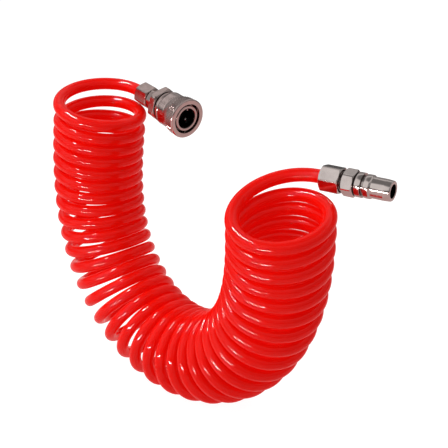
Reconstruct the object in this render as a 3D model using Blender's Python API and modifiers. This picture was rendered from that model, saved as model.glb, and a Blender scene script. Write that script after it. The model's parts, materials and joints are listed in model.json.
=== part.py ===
"""Coiled polyurethane air hose, standing on its bend as a U.

One tube is wound into a left-handed coil. At one end its tail carries a quick-connect socket, at the
other end a plug. The socket's valve, locking balls and sleeve are separate pieces. The tube is drawn in
sections, so that the legs can stretch and the tails can lift. Lengths below are millimetres and angles
are radians unless a name says otherwise; points are turned into metres only where objects are made.
"""
import math

import bmesh
import bpy
import numpy as np
from mathutils import Matrix, Quaternion, Vector

MM = 0.001
MERGE = 0.00001            # merge distance, metres
GAP = 0.3                  # clearance between pieces that touch

# ---- the tube and its coil ----
TUBE_OD = 8.0
TUBE_BORE = 5.0
TUBE_R = TUBE_OD / 2
COIL_R = 26.75             # centre line of the coil to centre line of the tube
INNER_PITCH = 8.15         # spacing of the turns on the inside of the bend
TURNS = 34                 # whole turns between the two tails
STEPS_PER_TURN = 12

# ---- the line that the coil follows ----
FIRST_HEADING = math.radians(-100)   # straight down is -90 degrees
BEND_LENGTH = 381.0        # length over which the bend grows and fades like half a sine wave
BEND_PEAK = 0.01353        # tightest curvature, one over millimetres
SIDE_LEAN = 0.12           # lean out of the U's plane at the plug end
TILT_SOCKET = -0.123       # shear of the turns against the coil's axis at each end
TILT_PLUG = 0.215
TOP_LEVEL = 0.106          # shear taken off the turns nearest the socket, which lie flatter
LEVEL_TURNS = (1.0, 1.25, 9.5)       # turns at which that starts, is complete and has faded
PLANE_TURN = math.radians(-41.6)     # direction of the U's plane, about the vertical

# ---- the two tails: length, how far the curl opens, how they rise, and the straight end ----
TAIL_SOCKET = dict(length=219.0, release=0.10, rise=0.073, hump=2.7, straight=5.0)
TAIL_PLUG = dict(length=133.7, release=0.336, rise=0.060, hump=0.0, straight=2.3)
HUMP_FROM = 0.20           # parts of the tail's length between which it stands higher by its hump
HUMP_TO = 0.96
TAIL_HINGE_SOCKET = 11     # steps from the coil's first turn to the point where the tail lifts
TAIL_HINGE_PLUG = 5
TAIL_IN_NUT = 8.4          # tube held inside the hose nut
TAIL_REFINE = 2            # tail points per coil step

# ---- where the tube's sections meet, in turns ----
TOP_SOCKET = 2
BEND_FROM = 11
BEND_TO = 23
TOP_PLUG = 33

# ---- fittings, measured along their own axis from the rear of the hose nut ----
TWIST_SOCKET = math.radians(20.9)     # how far each fitting is turned about its own axis
TWIST_PLUG = math.radians(-7.5)
PLUG_HEX_TURN = math.radians(21.3)    # the plug's hexagon against its hose nut
NUT_FLATS = 14.0
NUT_LENGTH = 12.0
NUT_BORE_R = TUBE_R + GAP
SPIGOT_R = TUBE_BORE / 2 - GAP
SPIGOT_BORE_R = 1.5
SPIGOT_FROM = 1.0
THREAD_R = 5.7
THREAD_FROM = 9.3
AIRWAY_R = 2.5
ADAPTOR_FLATS = 13.0
ADAPTOR_HEX = (12.4, 19.2)
ADAPTOR_TO = 23.4
BODY_FLATS = 21.0
BODY_R = 8.6
BODY_FROM = 20.5
BODY_HEX_TO = 26.0
BODY_TO = 48.4
COLLAR_R = 10.3            # the seat of the sleeve's spring
COLLAR = (27.3, 29.1)
MOUTH_R = 6.3              # takes a plug nose of 12 mm
MOUTH_CHAMFER = 0.7
CHAMBER_R = THREAD_R + GAP
SEAT_FROM = 33.0
SEAT_TO = 34.5
SEAT_R = 4.0
SEAL_GROOVE = (35.0, 37.2)
BALL_R = 1.6
BALL_COUNT = 6
BALL_Z = 40.2
BALL_SEATED = 7.0          # a ball's centre from the axis while the sleeve holds it in
SLEEVE_R = 13.1
SLEEVE_REAR_R = 11.5
SLEEVE_BORE_R = 10.6
SLEEVE_FROM = 30.0
SLEEVE_TO = 49.0
FLARE = (37.4, 42.9)       # the sleeve widens between these
LAND_FROM = 38.0           # the sleeve's land holds the balls in
LAND_R = BODY_R + GAP
RING_Z = (43.9, 44.9)
NOSE_R = 6.0
PLUG_LENGTH = 41.7

ROUND = 24                 # segments of a large turned piece
ROUND_SMALL = 16


# ------------------------------------------------------------------ scene and materials
def clear_scene():
    for obj in list(bpy.data.objects):
        bpy.data.objects.remove(obj, do_unlink=True)


def new_collection(name):
    coll = bpy.data.collections.new(name)
    bpy.context.scene.collection.children.link(coll)
    return coll


def material(name, colour, roughness, metallic):
    mat = bpy.data.materials.new(name)
    mat.use_nodes = True
    bsdf = mat.node_tree.nodes["Principled BSDF"]
    bsdf.inputs["Base Color"].default_value = (*colour, 1.0)
    bsdf.inputs["Roughness"].default_value = roughness
    bsdf.inputs["Metallic"].default_value = metallic
    return mat


NICKEL = ((0.52, 0.46, 0.44), 0.28, 1.0)
STEEL = ((0.58, 0.57, 0.55), 0.32, 1.0)
BRASS = ((0.72, 0.55, 0.28), 0.35, 1.0)
RUBBER = ((0.03, 0.03, 0.03), 0.7, 0.0)
HOSE_RED = ((0.78, 0.02, 0.012), 0.22, 0.0)


def dress(obj, finish):
    """Give an object its own material."""
    obj.data.materials.clear()
    obj.data.materials.append(material(obj.name + "_finish", *finish))


# ------------------------------------------------------------------ the coil's centre line
def unit(vector):
    return vector / np.linalg.norm(vector)


class CoilAxis:
    """The line through the middle of the coil, with its frame, sampled finely and read by turn."""

    def __init__(self, samples=1600, overrun=14.0):
        length = np.linspace(-overrun, BEND_LENGTH + overrun, samples)
        part = np.clip(length / BEND_LENGTH, 0.0, 1.0)
        curvature = BEND_PEAK * np.sin(np.pi * part)
        heading = self.running_sum(curvature, length)
        start = int(np.searchsorted(length, 0.0))
        heading = heading - heading[start] + FIRST_HEADING
        lean = SIDE_LEAN * part ** 2
        self.along = np.stack([np.cos(heading) * np.cos(lean), -np.sin(lean),
                               np.sin(heading) * np.cos(lean)], axis=1)
        self.outward = np.stack([np.sin(heading), np.zeros(samples), -np.cos(heading)], axis=1)
        self.across = np.cross(self.along, self.outward)
        points = np.stack([self.running_sum(self.along[:, k], length) for k in range(3)], axis=1)
        self.points = points - points[start]
        turns = self.running_sum((1.0 - curvature * COIL_R) / INNER_PITCH, length)
        self.turns = turns - turns[start]
        self.length = length

    @staticmethod
    def running_sum(values, places):
        steps = (values[1:] + values[:-1]) / 2 * np.diff(places)
        return np.concatenate([[0.0], np.cumsum(steps)])

    def read(self, rows, turn):
        columns = [np.interp(turn, self.turns, rows[:, k]) for k in range(3)]
        return np.stack(columns, axis=-1)

    def frame(self, turn):
        """Centre, direction of travel, outward and across directions at a turn."""
        return tuple(self.read(rows, turn) for rows in
                     (self.points, self.along, self.outward, self.across))

    def pitch(self, turn):
        ahead = np.interp(turn + 0.3, self.turns, self.length)
        behind = np.interp(turn - 0.3, self.turns, self.length)
        return (ahead - behind) / 0.6


def tilt_at(turn):
    turn = np.asarray(turn)
    part = turn / TURNS
    start, full, gone = LEVEL_TURNS
    grown = np.clip((turn - start) / (full - start), 0.0, 1.0)
    left = np.clip((gone - turn) / (gone - full), 0.0, 1.0)
    level = TOP_LEVEL * grown ** 2 * (3.0 - 2.0 * grown) * left
    return TILT_SOCKET * (1.0 - part) ** 2 + TILT_PLUG * part ** 2 + level


def coil_points(axis, turns):
    """Tube centre line on the coil; whole turns lie on the outside of the U."""
    centre, along, outward, across = axis.frame(turns)
    angle = 2 * np.pi * np.asarray(turns)
    swing = np.sin(angle)[:, None]
    ring = np.cos(angle)[:, None] * outward - swing * across
    return centre + COIL_R * (ring - swing * tilt_at(turns)[:, None] * along)


def tail_points(axis, turn, towards_socket, length, release, rise, hump, straight, samples=1201):
    """Tube centre line from a whole turn out to the rear of the hose nut, and the arc length of each."""
    centre, along, outward, across = axis.frame(float(turn))
    sheared = unit(across + tilt_at(turn) * along)
    side, up = (sheared, -along) if towards_socket else (-sheared, along)
    arc = np.linspace(0.0, length, samples)
    part = arc / length
    heading = axis.running_sum((1.0 - release * part ** 3) / COIL_R, arc)
    base_rise = axis.pitch(turn) / (2 * np.pi * COIL_R)
    slope = base_rise * (1.0 - part) + rise * np.sin(np.pi * part ** 2)
    out = COIL_R - axis.running_sum(np.sin(heading), arc)
    around = axis.running_sum(np.cos(heading), arc)
    lift = axis.running_sum(slope, arc)
    on_hump = np.clip((part - HUMP_FROM) / (HUMP_TO - HUMP_FROM), 0.0, 1.0)
    lift = lift + hump * np.sin(np.pi * on_hump) ** 2
    points = centre + out[:, None] * outward + around[:, None] * side + lift[:, None] * up
    beyond = np.linspace(0.0, straight, 31)[1:]
    end = points[-1] + beyond[:, None] * unit(points[-1] - points[-3])
    return np.concatenate([points, end]), np.concatenate([arc, length + beyond])


class HoseLayout:
    """Every point and direction that the objects need, in world millimetres."""

    def __init__(self):
        self.axis = CoilAxis()
        self.turn_matrix = np.array(Matrix.Rotation(PLANE_TURN, 3, "Z"))
        self.shift = np.zeros(3)
        low, high = self.box()
        self.shift = np.array([(low[0] + high[0]) / 2, (low[1] + high[1]) / 2, low[2]])
        self.socket_tail = self.tail(1, True, TAIL_SOCKET)
        self.plug_tail = self.tail(TURNS, False, TAIL_PLUG)

    def to_world(self, points):
        return points @ self.turn_matrix.T - self.shift

    def direction(self, vector):
        return unit(self.turn_matrix @ vector)

    def tail(self, turn, towards_socket, sizes):
        points, arc = tail_points(self.axis, turn, towards_socket, **sizes)
        return self.to_world(points), arc

    def box(self):
        """Low and high corners of the whole object, from the tube and the front end of each fitting."""
        self.socket_tail = self.tail(1, True, TAIL_SOCKET)
        self.plug_tail = self.tail(TURNS, False, TAIL_PLUG)
        line, _ = self.hose_line()
        spots = [line - TUBE_R, line + TUBE_R]
        for tail, reach, radius in ((self.socket_tail, SLEEVE_TO, SLEEVE_R),
                                    (self.plug_tail, PLUG_LENGTH, NOSE_R)):
            rear, direction = self.tail_end(tail)
            side = radius * np.sqrt(1.0 - direction ** 2)
            front = rear + reach * direction
            spots.append(np.stack([front - side, front + side]))
        spots = np.concatenate(spots)
        return spots.min(axis=0), spots.max(axis=0)

    def tail_run(self, tail, hinge_step):
        """Points of a tail from the coil's whole turn to the nut, finer beyond the lifting point."""
        points, arc = tail
        step = 2 * np.pi * COIL_R / STEPS_PER_TURN
        coarse = np.arange(hinge_step + 1) * step
        fine_count = int(round((arc[-1] - coarse[-1]) / step * TAIL_REFINE))
        fine = np.linspace(coarse[-1], arc[-1], fine_count + 1)[1:]
        wanted = np.concatenate([coarse, fine])
        return np.stack([np.interp(wanted, arc, points[:, k]) for k in range(3)], axis=1)

    def hose_line(self):
        """The whole tube's centre line, socket end first, and the step at which each section ends."""
        socket_run = self.tail_run(self.socket_tail, TAIL_HINGE_SOCKET)
        plug_run = self.tail_run(self.plug_tail, TAIL_HINGE_PLUG)
        turns = np.arange(1 * STEPS_PER_TURN, TURNS * STEPS_PER_TURN + 1) / STEPS_PER_TURN
        coil = self.to_world(coil_points(self.axis, turns))
        line = np.concatenate([socket_run[::-1], coil[1:-1], plug_run])
        first = len(socket_run) - 1
        last = first + (TURNS - 1) * STEPS_PER_TURN
        cuts = [first - TAIL_HINGE_SOCKET]
        cuts += [first + (turn - 1) * STEPS_PER_TURN for turn in (TOP_SOCKET, BEND_FROM, BEND_TO, TOP_PLUG)]
        return line, cuts + [last + TAIL_HINGE_PLUG]

    @staticmethod
    def tail_end(tail):
        """Rear of the hose nut and the direction in which the fitting points."""
        points, _ = tail
        return points[-1], unit(points[-1] - points[-3])


# ------------------------------------------------------------------ shape helpers
def section(line, first_cut=None, last_cut=None):
    """The stretch of a line between two cuts. A cut is square, halfway along the step after its point."""
    start = 0 if first_cut is None else first_cut + 1
    stop = len(line) if last_cut is None else last_cut + 1
    points = line[start:stop]
    if first_cut is not None:
        points = np.concatenate([[cut_point(line, first_cut, 1)], points])
    if last_cut is not None:
        points = np.concatenate([points, [cut_point(line, last_cut, -1)]])
    return points


def cut_point(line, cut, side):
    """Half a gap to one side of a cut."""
    middle = (line[cut] + line[cut + 1]) / 2
    return middle + side * GAP / 2 * unit(line[cut + 1] - line[cut])


def tube(name, points, radius, coll, origin=None, sides=2):
    """A round bar along a line of points. The origin is a world point in millimetres."""
    origin = points[0] if origin is None else np.asarray(origin)
    curve = bpy.data.curves.new(name, "CURVE")
    curve.dimensions = "3D"
    curve.bevel_depth = radius * MM
    curve.bevel_resolution = sides
    curve.use_fill_caps = True
    spline = curve.splines.new("POLY")
    spline.points.add(len(points) - 1)
    for spot, place in zip(spline.points, (points - origin) * MM):
        spot.co = (*place, 1.0)
    obj = bpy.data.objects.new(name, curve)
    obj.location = Vector(origin * MM)
    coll.objects.link(obj)
    return obj


def as_mesh(obj):
    """Turn a curve object into a mesh object with welded caps, in the same place."""
    bpy.context.view_layer.update()
    evaluated = obj.evaluated_get(bpy.context.evaluated_depsgraph_get())
    mesh = bpy.data.meshes.new_from_object(evaluated)
    bm = bmesh.new()
    bm.from_mesh(mesh)
    bmesh.ops.remove_doubles(bm, verts=bm.verts, dist=MERGE)
    bm.to_mesh(mesh)
    bm.free()
    name = obj.name
    solid = bpy.data.objects.new(name + "_mesh", mesh)
    solid.matrix_world = obj.matrix_world
    for coll in obj.users_collection:
        coll.objects.link(solid)
    bpy.data.objects.remove(obj, do_unlink=True)
    solid.name = name
    return solid


def revolve(name, outline, coll, closed=False, segments=ROUND):
    """Turn an outline of (radius, height) about Z. It runs down the outer side."""
    bm = bmesh.new()
    corners = [bm.verts.new((radius * MM, 0.0, height * MM)) for radius, height in outline]
    for first, second in zip(corners, corners[1:]):
        bm.edges.new((first, second))
    if closed:
        bm.edges.new((corners[-1], corners[0]))
    mesh = bpy.data.meshes.new(name)
    bm.to_mesh(mesh)
    bm.free()
    obj = bpy.data.objects.new(name, mesh)
    coll.objects.link(obj)
    screw = obj.modifiers.new("turn", "SCREW")
    screw.axis = "Z"
    screw.steps = segments
    screw.render_steps = segments
    screw.use_merge_vertices = True
    screw.merge_threshold = MERGE
    screw.use_smooth_shade = True
    return obj


def shaft(*steps):
    """Outline of a solid turned part from (radius, top, bottom) steps, top first."""
    outline = [(0.0, steps[0][1])]
    for radius, top, bottom in steps:
        outline += [(radius, top), (radius, bottom)]
    return outline + [(0.0, steps[-1][2])]


def ring_outline(inner, outer, bottom, top):
    return [(outer, top), (outer, bottom), (inner, bottom), (inner, top)]


def prism(name, flats, bottom, top, coll, turn):
    """A hexagonal bar from bottom to top, flats wide."""
    bm = bmesh.new()
    corner_r = flats / 2 / math.cos(math.pi / 6) * MM
    bmesh.ops.create_cone(bm, cap_ends=True, segments=6, radius1=corner_r, radius2=corner_r,
                          depth=(top - bottom) * MM)
    bmesh.ops.translate(bm, verts=bm.verts, vec=(0.0, 0.0, (top + bottom) / 2 * MM))
    bmesh.ops.rotate(bm, verts=bm.verts, matrix=Matrix.Rotation(turn, 3, "Z"))
    mesh = bpy.data.meshes.new(name)
    bm.to_mesh(mesh)
    bm.free()
    obj = bpy.data.objects.new(name, mesh)
    coll.objects.link(obj)
    return obj


def combine(obj, other, operation):
    modifier = obj.modifiers.new(operation.lower() + "_" + other.name, "BOOLEAN")
    modifier.operation = operation
    modifier.object = other
    modifier.solver = "EXACT"


def guide(obj):
    obj.hide_render = True
    obj.display_type = "WIRE"
    return obj


def turned_hex(name, flats, hex_from, hex_to, outline, bore, coll, guides, extra=(), turn=0.0):
    """A hexagon joined to turned steps and bored through; each outline is one solid of revolution."""
    obj = prism(name, flats, hex_from, hex_to, coll, turn)
    chamfer = guide(hex_chamfer(name + "_chamfer", flats, hex_from, hex_to, guides))
    combine(obj, chamfer, "INTERSECT")
    if outline:
        combine(obj, guide(revolve(name + "_turned", outline, guides)), "UNION")
    combine(obj, guide(revolve(name + "_bore", bore, guides)), "DIFFERENCE")
    for cutter in extra:
        combine(obj, guide(cutter), "DIFFERENCE")
    return obj


def hex_chamfer(name, flats, bottom, top, guides):
    """The barrel that takes the corners off both ends of a hexagon."""
    corner_r = flats / 2 / math.cos(math.pi / 6)
    face_r = flats / 2 - 0.15
    wide = corner_r + 1.0
    rise = (wide - face_r) * math.tan(math.radians(30))
    over = 0.01
    outline = [(0.0, top + over), (face_r, top + over), (wide, top - rise),
               (wide, bottom + rise), (face_r, bottom - over), (0.0, bottom - over)]
    return revolve(name, outline, guides, segments=ROUND_SMALL)


def place(obj, parent):
    obj.parent = parent
    return obj


def axis_empty(name, point, direction, twist, coll):
    """An empty whose Z runs along a fitting, from the rear of its hose nut."""
    empty = bpy.data.objects.new(name, None)
    empty.empty_display_size = 0.01
    empty.location = Vector(point * MM)
    empty.rotation_mode = "QUATERNION"
    empty.rotation_quaternion = (Vector(direction).to_track_quat("Z", "X")
                                 @ Quaternion((0.0, 0.0, 1.0), twist))
    coll.objects.link(empty)
    return empty


# ------------------------------------------------------------------ the tube's sections
def hose_sections(layout, coll, guides):
    line, cuts = layout.hose_line()
    sections = {
        "hose_top_turns_socket": (cuts[0], cuts[1], None),
        "hose_leg_socket": (cuts[1], cuts[2], swing_point(layout, BEND_FROM)),
        "hose_bend": (cuts[2], cuts[3], np.zeros(3)),
        "hose_leg_plug": (cuts[3], cuts[4], swing_point(layout, BEND_TO)),
        "hose_top_turns_plug": (cuts[4], cuts[5], None),
    }
    for name, (first_cut, last_cut, origin) in sections.items():
        dress(tube(name, section(line, first_cut, last_cut), TUBE_R, coll, origin), HOSE_RED)
    hose_tail("hose_tail_socket", section(line, None, cuts[0])[::-1], layout.socket_tail, coll, guides)
    hose_tail("hose_tail_plug", section(line, cuts[5], None), layout.plug_tail, coll, guides)


def swing_point(layout, turn):
    """Where the turns touch on the inside of the bend: the leg swings about this point."""
    centre, _, outward, _ = layout.axis.frame(float(turn))
    return layout.to_world(centre - COIL_R * outward)


def hose_tail(name, run, tail, coll, guides):
    """The bored end of the tube, from where it lifts to its cut end inside the hose nut."""
    nut_rear, direction = HoseLayout.tail_end(tail)
    held = nut_rear + direction * TAIL_IN_NUT
    points = np.concatenate([run, [held]])
    solid = as_mesh(tube(name, points, TUBE_R, coll))
    longer = points.copy()
    longer[0] -= unit(points[1] - points[0])
    longer[-1] += direction
    bore = as_mesh(tube(name + "_bore", longer, TUBE_BORE / 2, guides))
    combine(solid, guide(bore), "DIFFERENCE")
    dress(solid, HOSE_RED)


# ------------------------------------------------------------------ fittings
def hose_nut(name, parent, coll, guides):
    thread_bore = THREAD_R + GAP
    bore = [(0.0, NUT_LENGTH + 1), (thread_bore, NUT_LENGTH + 1), (thread_bore, THREAD_FROM - 0.7),
            (NUT_BORE_R, THREAD_FROM - 2.0), (NUT_BORE_R, -1.0), (0.0, -1.0)]
    nut = turned_hex(name, NUT_FLATS, 0.0, NUT_LENGTH, None, bore, coll, guides)
    dress(place(nut, parent), NICKEL)


def barb_adaptor(parent, coll, guides):
    outline = shaft((THREAD_R, ADAPTOR_TO, THREAD_FROM), (SPIGOT_R, THREAD_FROM, SPIGOT_FROM))
    bore = shaft((AIRWAY_R, ADAPTOR_TO + 1, ADAPTOR_HEX[0]), (SPIGOT_BORE_R, ADAPTOR_HEX[0], 0.0))
    adaptor = turned_hex("barb_adaptor", ADAPTOR_FLATS, *ADAPTOR_HEX, outline, bore, coll, guides,
                         turn=math.radians(30))
    dress(place(adaptor, parent), NICKEL)
    gasket_z = (ADAPTOR_HEX[1] + GAP, BODY_FROM - GAP)
    gasket = revolve("adaptor_gasket", ring_outline(6.2, 7.0, *gasket_z), coll, True, ROUND_SMALL)
    dress(place(gasket, parent), RUBBER)


def socket_body(parent, coll, guides):
    groove = (RING_Z[0] - GAP, RING_Z[1] + GAP)
    outline = [(0.0, BODY_TO), (BODY_R - 0.4, BODY_TO), (BODY_R, BODY_TO - 0.4), (BODY_R, groove[1]),
               (BODY_R - 0.6, groove[1]), (BODY_R - 0.6, groove[0]), (BODY_R, groove[0]),
               (BODY_R, COLLAR[1]), (COLLAR_R, COLLAR[1]), (COLLAR_R, COLLAR[0]), (BODY_R, COLLAR[0]),
               (BODY_R, BODY_FROM + 1), (0.0, BODY_FROM + 1)]
    bore = [(0.0, BODY_TO + 1), (MOUTH_R + MOUTH_CHAMFER + 1, BODY_TO + 1),
            (MOUTH_R, BODY_TO - MOUTH_CHAMFER),
            (MOUTH_R, SEAL_GROOVE[1]), (MOUTH_R + 1.1, SEAL_GROOVE[1]),
            (MOUTH_R + 1.1, SEAL_GROOVE[0]), (MOUTH_R, SEAL_GROOVE[0]), (MOUTH_R, SEAT_TO),
            (SEAT_R, SEAT_TO), (SEAT_R, SEAT_FROM), (CHAMBER_R, SEAT_FROM),
            (CHAMBER_R, BODY_FROM - 1), (0.0, BODY_FROM - 1)]
    holes = [ball_hole(k, guides) for k in range(BALL_COUNT)]
    body = turned_hex("socket_body", BODY_FLATS, BODY_FROM, BODY_HEX_TO, outline, bore, coll, guides,
                      holes)
    dress(place(body, parent), NICKEL)


def around_axis(k, count=BALL_COUNT):
    angle = 2 * math.pi * (k + 0.5) / count
    return Vector((math.cos(angle), math.sin(angle), 0.0))


def ball_hole(k, guides):
    bm = bmesh.new()
    bmesh.ops.create_cone(bm, cap_ends=True, segments=12, radius1=(BALL_R + GAP) * MM,
                          radius2=(BALL_R + GAP) * MM, depth=6.0 * MM)
    mesh = bpy.data.meshes.new(f"ball_hole_{k + 1}")
    bm.to_mesh(mesh)
    bm.free()
    hole = bpy.data.objects.new(f"ball_hole_{k + 1}", mesh)
    outward = around_axis(k)
    hole.location = outward * (MOUTH_R + 1.2) * MM + Vector((0.0, 0.0, BALL_Z * MM))
    hole.rotation_mode = "QUATERNION"
    hole.rotation_quaternion = outward.to_track_quat("Z", "X")
    guides.objects.link(hole)
    return hole


def locking_balls(parent, coll):
    for k in range(BALL_COUNT):
        bm = bmesh.new()
        bmesh.ops.create_uvsphere(bm, u_segments=12, v_segments=8, radius=BALL_R * MM)
        mesh = bpy.data.meshes.new(f"lock_ball_{k + 1}")
        bm.to_mesh(mesh)
        bm.free()
        ball = bpy.data.objects.new(f"lock_ball_{k + 1}", mesh)
        ball.location = around_axis(k) * BALL_SEATED * MM + Vector((0.0, 0.0, BALL_Z * MM))
        coll.objects.link(ball)
        dress(place(ball, parent), STEEL)


def socket_inside(parent, coll):
    flange_from, flange_to = SEAT_FROM - 3.3, SEAT_FROM - 1.5
    poppet = revolve("valve_poppet",
                     shaft((2.6, SEAT_TO + 3.5, SEAT_FROM - 0.3), (3.0, SEAT_FROM - 0.3, flange_to),
                           (5.2, flange_to, flange_from), (1.6, flange_from, ADAPTOR_TO + 1.6)),
                     coll, segments=ROUND_SMALL)
    dress(place(poppet, parent), BRASS)
    seal_z = (flange_to + GAP, SEAT_FROM - GAP)
    seal = revolve("valve_seal", ring_outline(3.3, 4.9, *seal_z), coll, True, ROUND_SMALL)
    dress(place(seal, parent), RUBBER)
    packing_z = (SEAL_GROOVE[0] + GAP, SEAL_GROOVE[1] - GAP)
    packing = revolve("mouth_seal", ring_outline(6.12, 7.1, *packing_z), coll, True, ROUND)
    dress(place(packing, parent), RUBBER)
    coil_spring("valve_spring", 4.4, 0.4, 3.0, ADAPTOR_TO, flange_from, parent, coll)
    coil_spring("sleeve_spring", 9.6, 0.5, 3.25, COLLAR[1], LAND_FROM, parent, coll)


def coil_spring(name, mean_r, wire_r, turns, seat, top_seat, parent, coll):
    """An open coil of wire between two seats."""
    bottom = seat + wire_r + GAP
    top = top_seat - wire_r - GAP
    count = int(turns * STEPS_PER_TURN) + 1
    part = np.linspace(0.0, 1.0, count)
    angle = 2 * np.pi * turns * part
    points = np.stack([mean_r * np.cos(angle), mean_r * np.sin(angle),
                       bottom + (top - bottom) * part], axis=1)
    spring = tube(name, points, wire_r, coll, origin=np.zeros(3), sides=1)
    dress(place(spring, parent), STEEL)


def locking_sleeve(parent, coll):
    ramp_from = BALL_Z + 0.2
    ramp_r = LAND_R + 1.3
    outline = [(SLEEVE_R - 0.7, SLEEVE_TO), (SLEEVE_R, SLEEVE_TO - 0.7), (SLEEVE_R, FLARE[1]),
               (SLEEVE_REAR_R, FLARE[0]), (SLEEVE_REAR_R, SLEEVE_FROM + 0.4),
               (SLEEVE_REAR_R - 0.3, SLEEVE_FROM), (SLEEVE_BORE_R, SLEEVE_FROM),
               (SLEEVE_BORE_R, LAND_FROM), (LAND_R, LAND_FROM), (LAND_R, ramp_from),
               (ramp_r, ramp_from + 4.0), (ramp_r, SLEEVE_TO)]
    sleeve = revolve("locking_sleeve", outline, coll, True, ROUND)
    dress(place(sleeve, parent), NICKEL)


def retaining_ring(parent, coll, guides):
    """An open spring ring in the body's groove; it stops the sleeve."""
    ring = revolve("retaining_ring", ring_outline(BODY_R - 0.3, 9.8, *RING_Z), coll, True, ROUND)
    bm = bmesh.new()
    bmesh.ops.create_cube(bm, size=1.0)
    bmesh.ops.scale(bm, vec=(4.0 * MM, 2.0 * MM, 3.0 * MM), verts=bm.verts)
    mesh = bpy.data.meshes.new("ring_opening")
    bm.to_mesh(mesh)
    bm.free()
    opening = bpy.data.objects.new("ring_opening", mesh)
    opening.location = (9.1 * MM, 0.0, sum(RING_Z) / 2 * MM)
    guides.objects.link(opening)
    combine(ring, guide(opening), "DIFFERENCE")
    dress(place(ring, parent), STEEL)


def plug_body(parent, coll, guides):
    """The plug in one piece: nose, band, ball groove, collar, hexagon and the barbed thread behind."""
    hexagon = (13.7, 20.6)
    collar = (21.7, 25.0)
    band = (26.8, 30.3)
    outline = [(0.0, PLUG_LENGTH), (5.4, PLUG_LENGTH), (5.7, PLUG_LENGTH - 0.4), (NOSE_R, 38.0),
               (NOSE_R, band[1] + 0.3), (6.3, band[1]), (6.7, band[1] - 0.6), (6.7, band[0]),
               (5.3, band[0]), (5.3, collar[1]), (7.0, collar[1]), (7.0, collar[0]), (6.0, collar[0]),
               (6.0, hexagon[1]), (THREAD_R, hexagon[0] + 0.6), (THREAD_R, THREAD_FROM),
               (SPIGOT_R, THREAD_FROM), (SPIGOT_R, SPIGOT_FROM), (0.0, SPIGOT_FROM)]
    bore = shaft((3.75, PLUG_LENGTH + 1, 36.0), (AIRWAY_R, 36.0, 14.0), (SPIGOT_BORE_R, 14.0, 0.0))
    body = turned_hex("plug_body", NUT_FLATS, *hexagon, outline, bore, coll, guides, turn=PLUG_HEX_TURN)
    dress(place(body, parent), NICKEL)


def parent_guides(guides, prefixes, parent):
    """Hang the cutters of one fitting on its axis."""
    for helper in guides.objects:
        if helper.name.startswith(prefixes):
            place(helper, parent)


def build():
    clear_scene()
    coll = new_collection("coiled_air_hose")
    guides = new_collection("cutters")
    layout = HoseLayout()
    hose_sections(layout, coll, guides)

    socket = axis_empty("socket_axis", *layout.tail_end(layout.socket_tail), TWIST_SOCKET, coll)
    hose_nut("socket_hose_nut", socket, coll, guides)
    barb_adaptor(socket, coll, guides)
    socket_body(socket, coll, guides)
    socket_inside(socket, coll)
    locking_balls(socket, coll)
    locking_sleeve(socket, coll)
    retaining_ring(socket, coll, guides)
    parent_guides(guides, ("socket_", "barb_", "ball_", "ring_"), socket)

    plug = axis_empty("plug_axis", *layout.tail_end(layout.plug_tail), TWIST_PLUG, coll)
    hose_nut("plug_hose_nut", plug, coll, guides)
    plug_body(plug, coll, guides)
    parent_guides(guides, "plug_", plug)
    return layout


build()
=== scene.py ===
"""Looks of the coiled air hose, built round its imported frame.

Lengths are millimetres until they are placed."""

import json
import math

import bmesh
import bpy
import numpy as np
from mathutils import Matrix, Vector

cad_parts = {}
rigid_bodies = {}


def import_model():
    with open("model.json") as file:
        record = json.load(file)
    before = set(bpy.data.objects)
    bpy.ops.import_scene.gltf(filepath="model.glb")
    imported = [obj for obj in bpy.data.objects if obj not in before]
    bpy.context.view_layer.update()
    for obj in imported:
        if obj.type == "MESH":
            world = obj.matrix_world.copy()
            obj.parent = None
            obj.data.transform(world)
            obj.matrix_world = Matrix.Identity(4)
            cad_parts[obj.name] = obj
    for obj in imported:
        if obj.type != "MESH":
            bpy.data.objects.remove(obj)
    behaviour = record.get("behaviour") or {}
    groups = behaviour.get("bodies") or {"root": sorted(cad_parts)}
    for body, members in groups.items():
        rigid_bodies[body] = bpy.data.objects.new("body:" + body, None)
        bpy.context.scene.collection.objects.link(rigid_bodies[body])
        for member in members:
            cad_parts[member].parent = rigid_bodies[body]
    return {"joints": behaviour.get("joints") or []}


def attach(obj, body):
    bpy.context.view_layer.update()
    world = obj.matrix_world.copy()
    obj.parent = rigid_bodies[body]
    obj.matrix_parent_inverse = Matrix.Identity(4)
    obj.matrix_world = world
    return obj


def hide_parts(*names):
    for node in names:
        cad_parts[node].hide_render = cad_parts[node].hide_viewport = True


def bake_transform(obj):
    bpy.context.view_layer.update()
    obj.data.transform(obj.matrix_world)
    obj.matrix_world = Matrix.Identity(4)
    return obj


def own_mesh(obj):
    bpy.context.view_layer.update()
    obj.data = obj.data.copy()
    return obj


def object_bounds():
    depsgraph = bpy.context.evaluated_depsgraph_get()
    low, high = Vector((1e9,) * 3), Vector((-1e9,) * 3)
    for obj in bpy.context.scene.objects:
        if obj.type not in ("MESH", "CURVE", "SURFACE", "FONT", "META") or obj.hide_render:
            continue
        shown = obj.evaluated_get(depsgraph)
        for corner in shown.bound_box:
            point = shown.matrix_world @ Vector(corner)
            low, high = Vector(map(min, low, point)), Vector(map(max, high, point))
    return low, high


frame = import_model()
CAD_LOW, CAD_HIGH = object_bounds()
JOINTS = {joint["name"]: joint for joint in frame["joints"]}

MM = 0.001

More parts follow.
